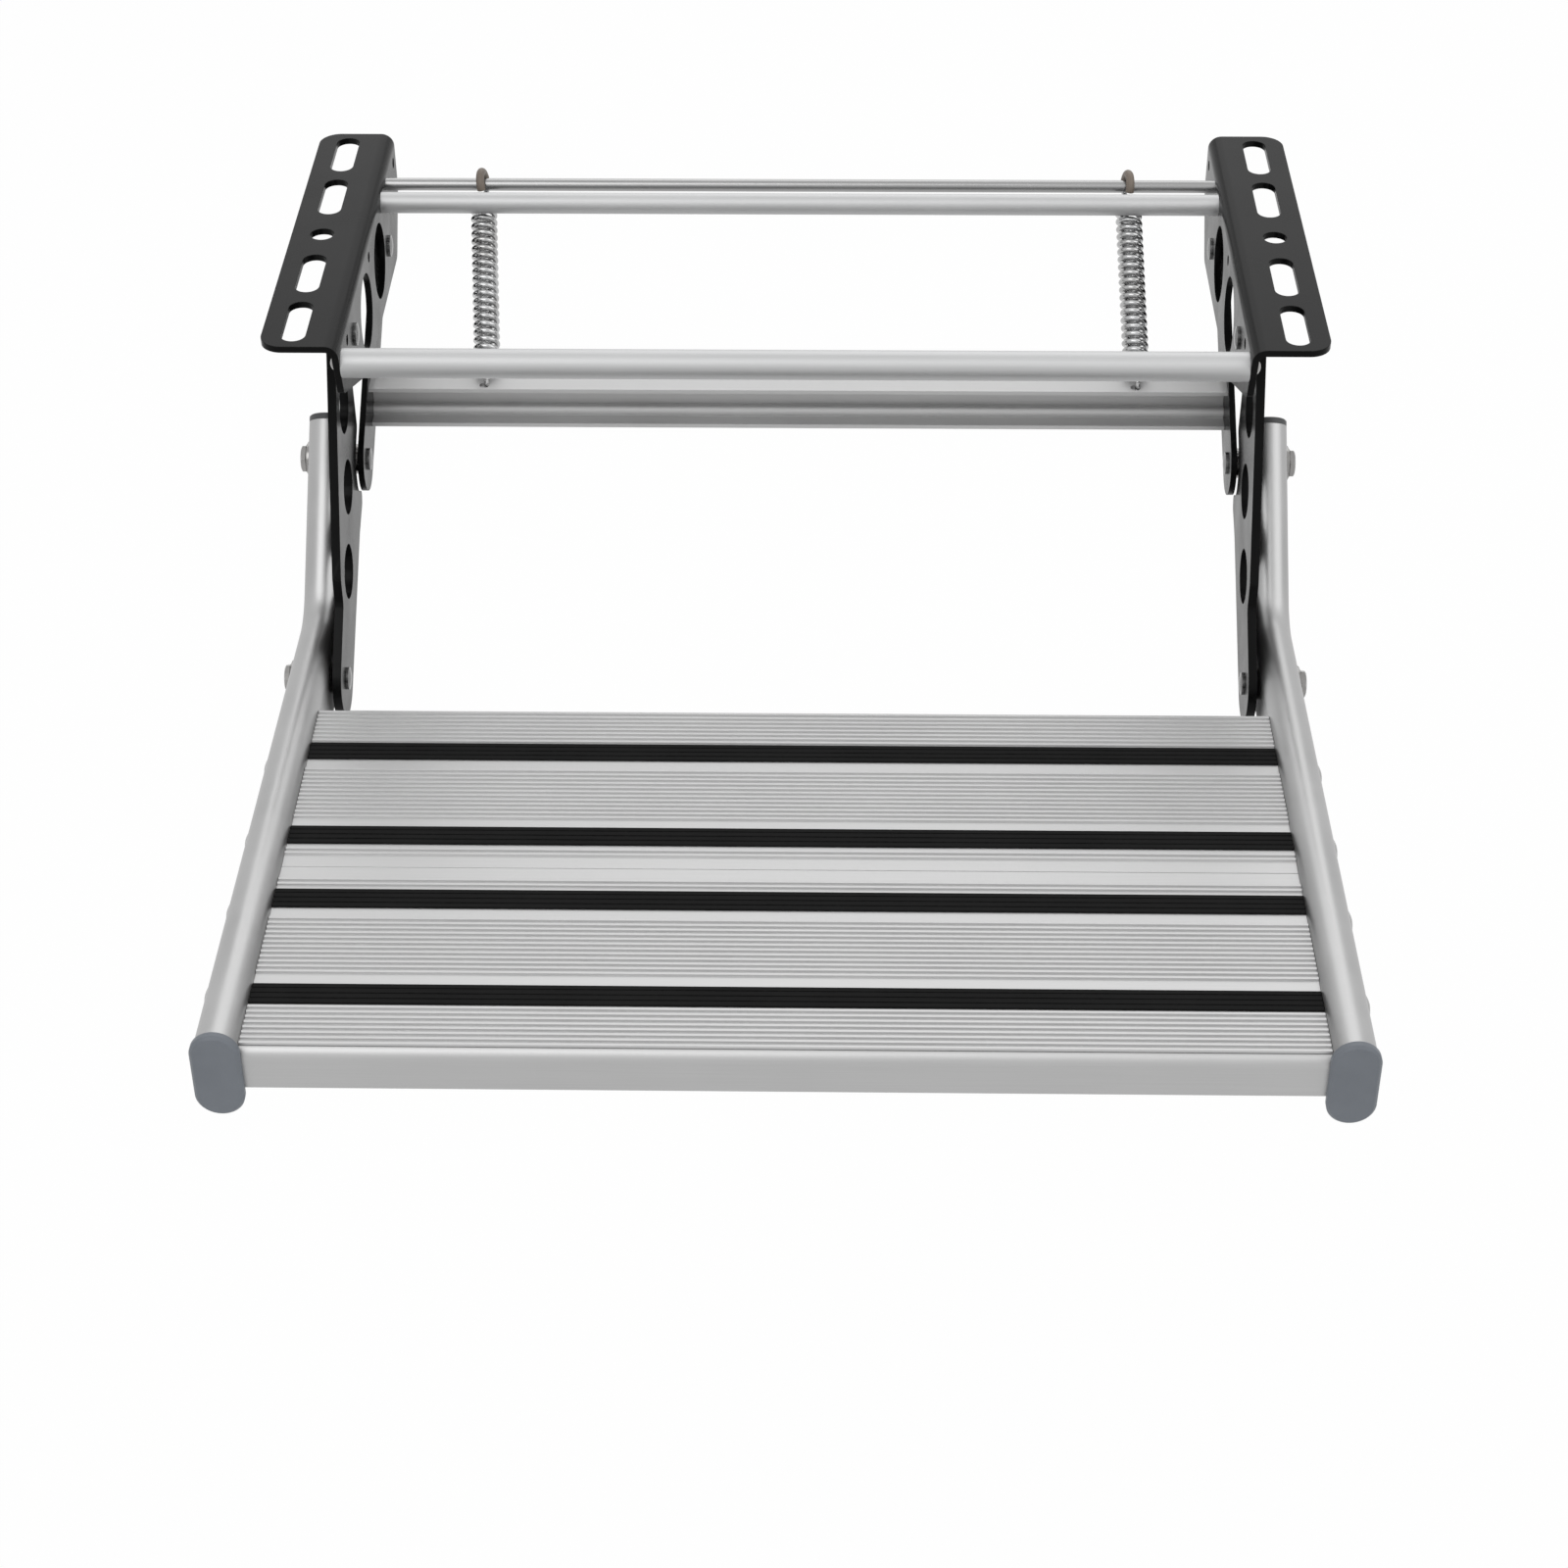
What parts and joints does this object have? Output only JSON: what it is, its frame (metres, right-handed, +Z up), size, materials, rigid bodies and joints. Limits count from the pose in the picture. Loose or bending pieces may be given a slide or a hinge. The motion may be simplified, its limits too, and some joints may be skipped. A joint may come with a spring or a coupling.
{
  "type": "caravan entry step",
  "caption": "Fold-away single entry step: ribbed tread between bent oval tubes, hung by pierced arms from slotted brackets with tension springs.",
  "frame": {"origin": "midway between the two flanges' centre holes, on the flanges' top faces", "axes": "+Z up along the mounting bolts, +X across the doorway, +Y in under the vehicle, so the tread reaches out to -Y"},
  "size_m": [0.47, 0.5141, 0.1783],
  "materials": {
    "black_paint": "satin",
    "bar_aluminium": "satin",
    "channel_aluminium": "satin",
    "tube_aluminium": "blasted and anodised satin",
    "plank_aluminium": "ribbed satin extrusion",
    "bright_steel": "bright drawn",
    "zinc_spring": "zinc plated",
    "pin_steel": "zinc plated",
    "stainless": "polished",
    "grip_rubber": "matte",
    "cap_plastic": "matte moulded",
    "top_cap_plastic": "matte moulded",
    "sleeve_plastic": "matte",
    "washer_plastic": "matte"
  },
  "bodies": {
    "brackets": {"bracket_left": "black_paint", "bracket_right": "black_paint", "front_cross_bar": "bar_aluminium", "rear_cross_bar": "bar_aluminium", "cross_bar_screws": "stainless", "spring_rod": "bright_steel", "front_arm_pins": "pin_steel", "rear_arm_pins": "pin_steel", "front_arm_washers": "washer_plastic"},
    "front_arms": {"front_arm_left": "black_paint", "front_arm_right": "black_paint"},
    "rear_arms": {"rear_arm_left": "black_paint", "rear_arm_right": "black_paint", "rear_arm_studs": "pin_steel", "spring_channel": "channel_aluminium", "channel_screws": "stainless"},
    "springs": {"spring_left": "zinc_spring", "spring_right": "zinc_spring", "spring_hook_sleeves": "sleeve_plastic"},
    "tread": {"side_tube_left": "tube_aluminium", "side_tube_right": "tube_aluminium", "front_cap_left": "cap_plastic", "front_cap_right": "cap_plastic", "top_cap_left": "top_cap_plastic", "top_cap_right": "top_cap_plastic", "tread_plank_front": "plank_aluminium", "tread_plank_rear": "plank_aluminium", "grip_strip_1": "grip_rubber", "grip_strip_2": "grip_rubber", "grip_strip_3": "grip_rubber", "grip_strip_4": "grip_rubber", "plank_screws": "stainless", "front_pivot_bolts": "stainless", "rear_pivot_bolts": "stainless", "pivot_washers": "stainless", "front_pivot_spacers": "washer_plastic", "rear_pivot_spacers": "stainless"}
  },
  "joints": [
    {"name": "front_arm_fold", "type": "hinge", "parent": "brackets", "child": "front_arms", "pos_m": [0, -0.058, -0.02], "axis": [1, 0, 0], "range_deg": [0, 76]},
    {"name": "tread_fold", "type": "hinge", "parent": "front_arms", "child": "tread", "pos_m": [0, -0.13202, -0.15892], "axis": [1, 0, 0], "range_deg": [-87.3, 0]},
    {"name": "rear_arm_fold", "type": "hinge", "parent": "brackets", "child": "rear_arms", "pos_m": [0, 0.06, -0.0375], "axis": [1, 0, 0], "range_deg": [0, 122.6]},
    {"name": "spring_swing", "type": "hinge", "parent": "brackets", "child": "springs", "pos_m": [0, 0.0688, -0.0089], "axis": [1, 0, 0], "range_deg": [0, 91.3], "deforming": ["spring_left", "spring_right"]}
  ],
  "couplings": [
    {"joint": "tread_fold", "follows": "front_arm_fold", "ratio": -1.1484},
    {"joint": "rear_arm_fold", "follows": "front_arm_fold", "ratio": 1.6129},
    {"joint": "spring_swing", "follows": "front_arm_fold", "ratio": 1.2001}
  ]
}
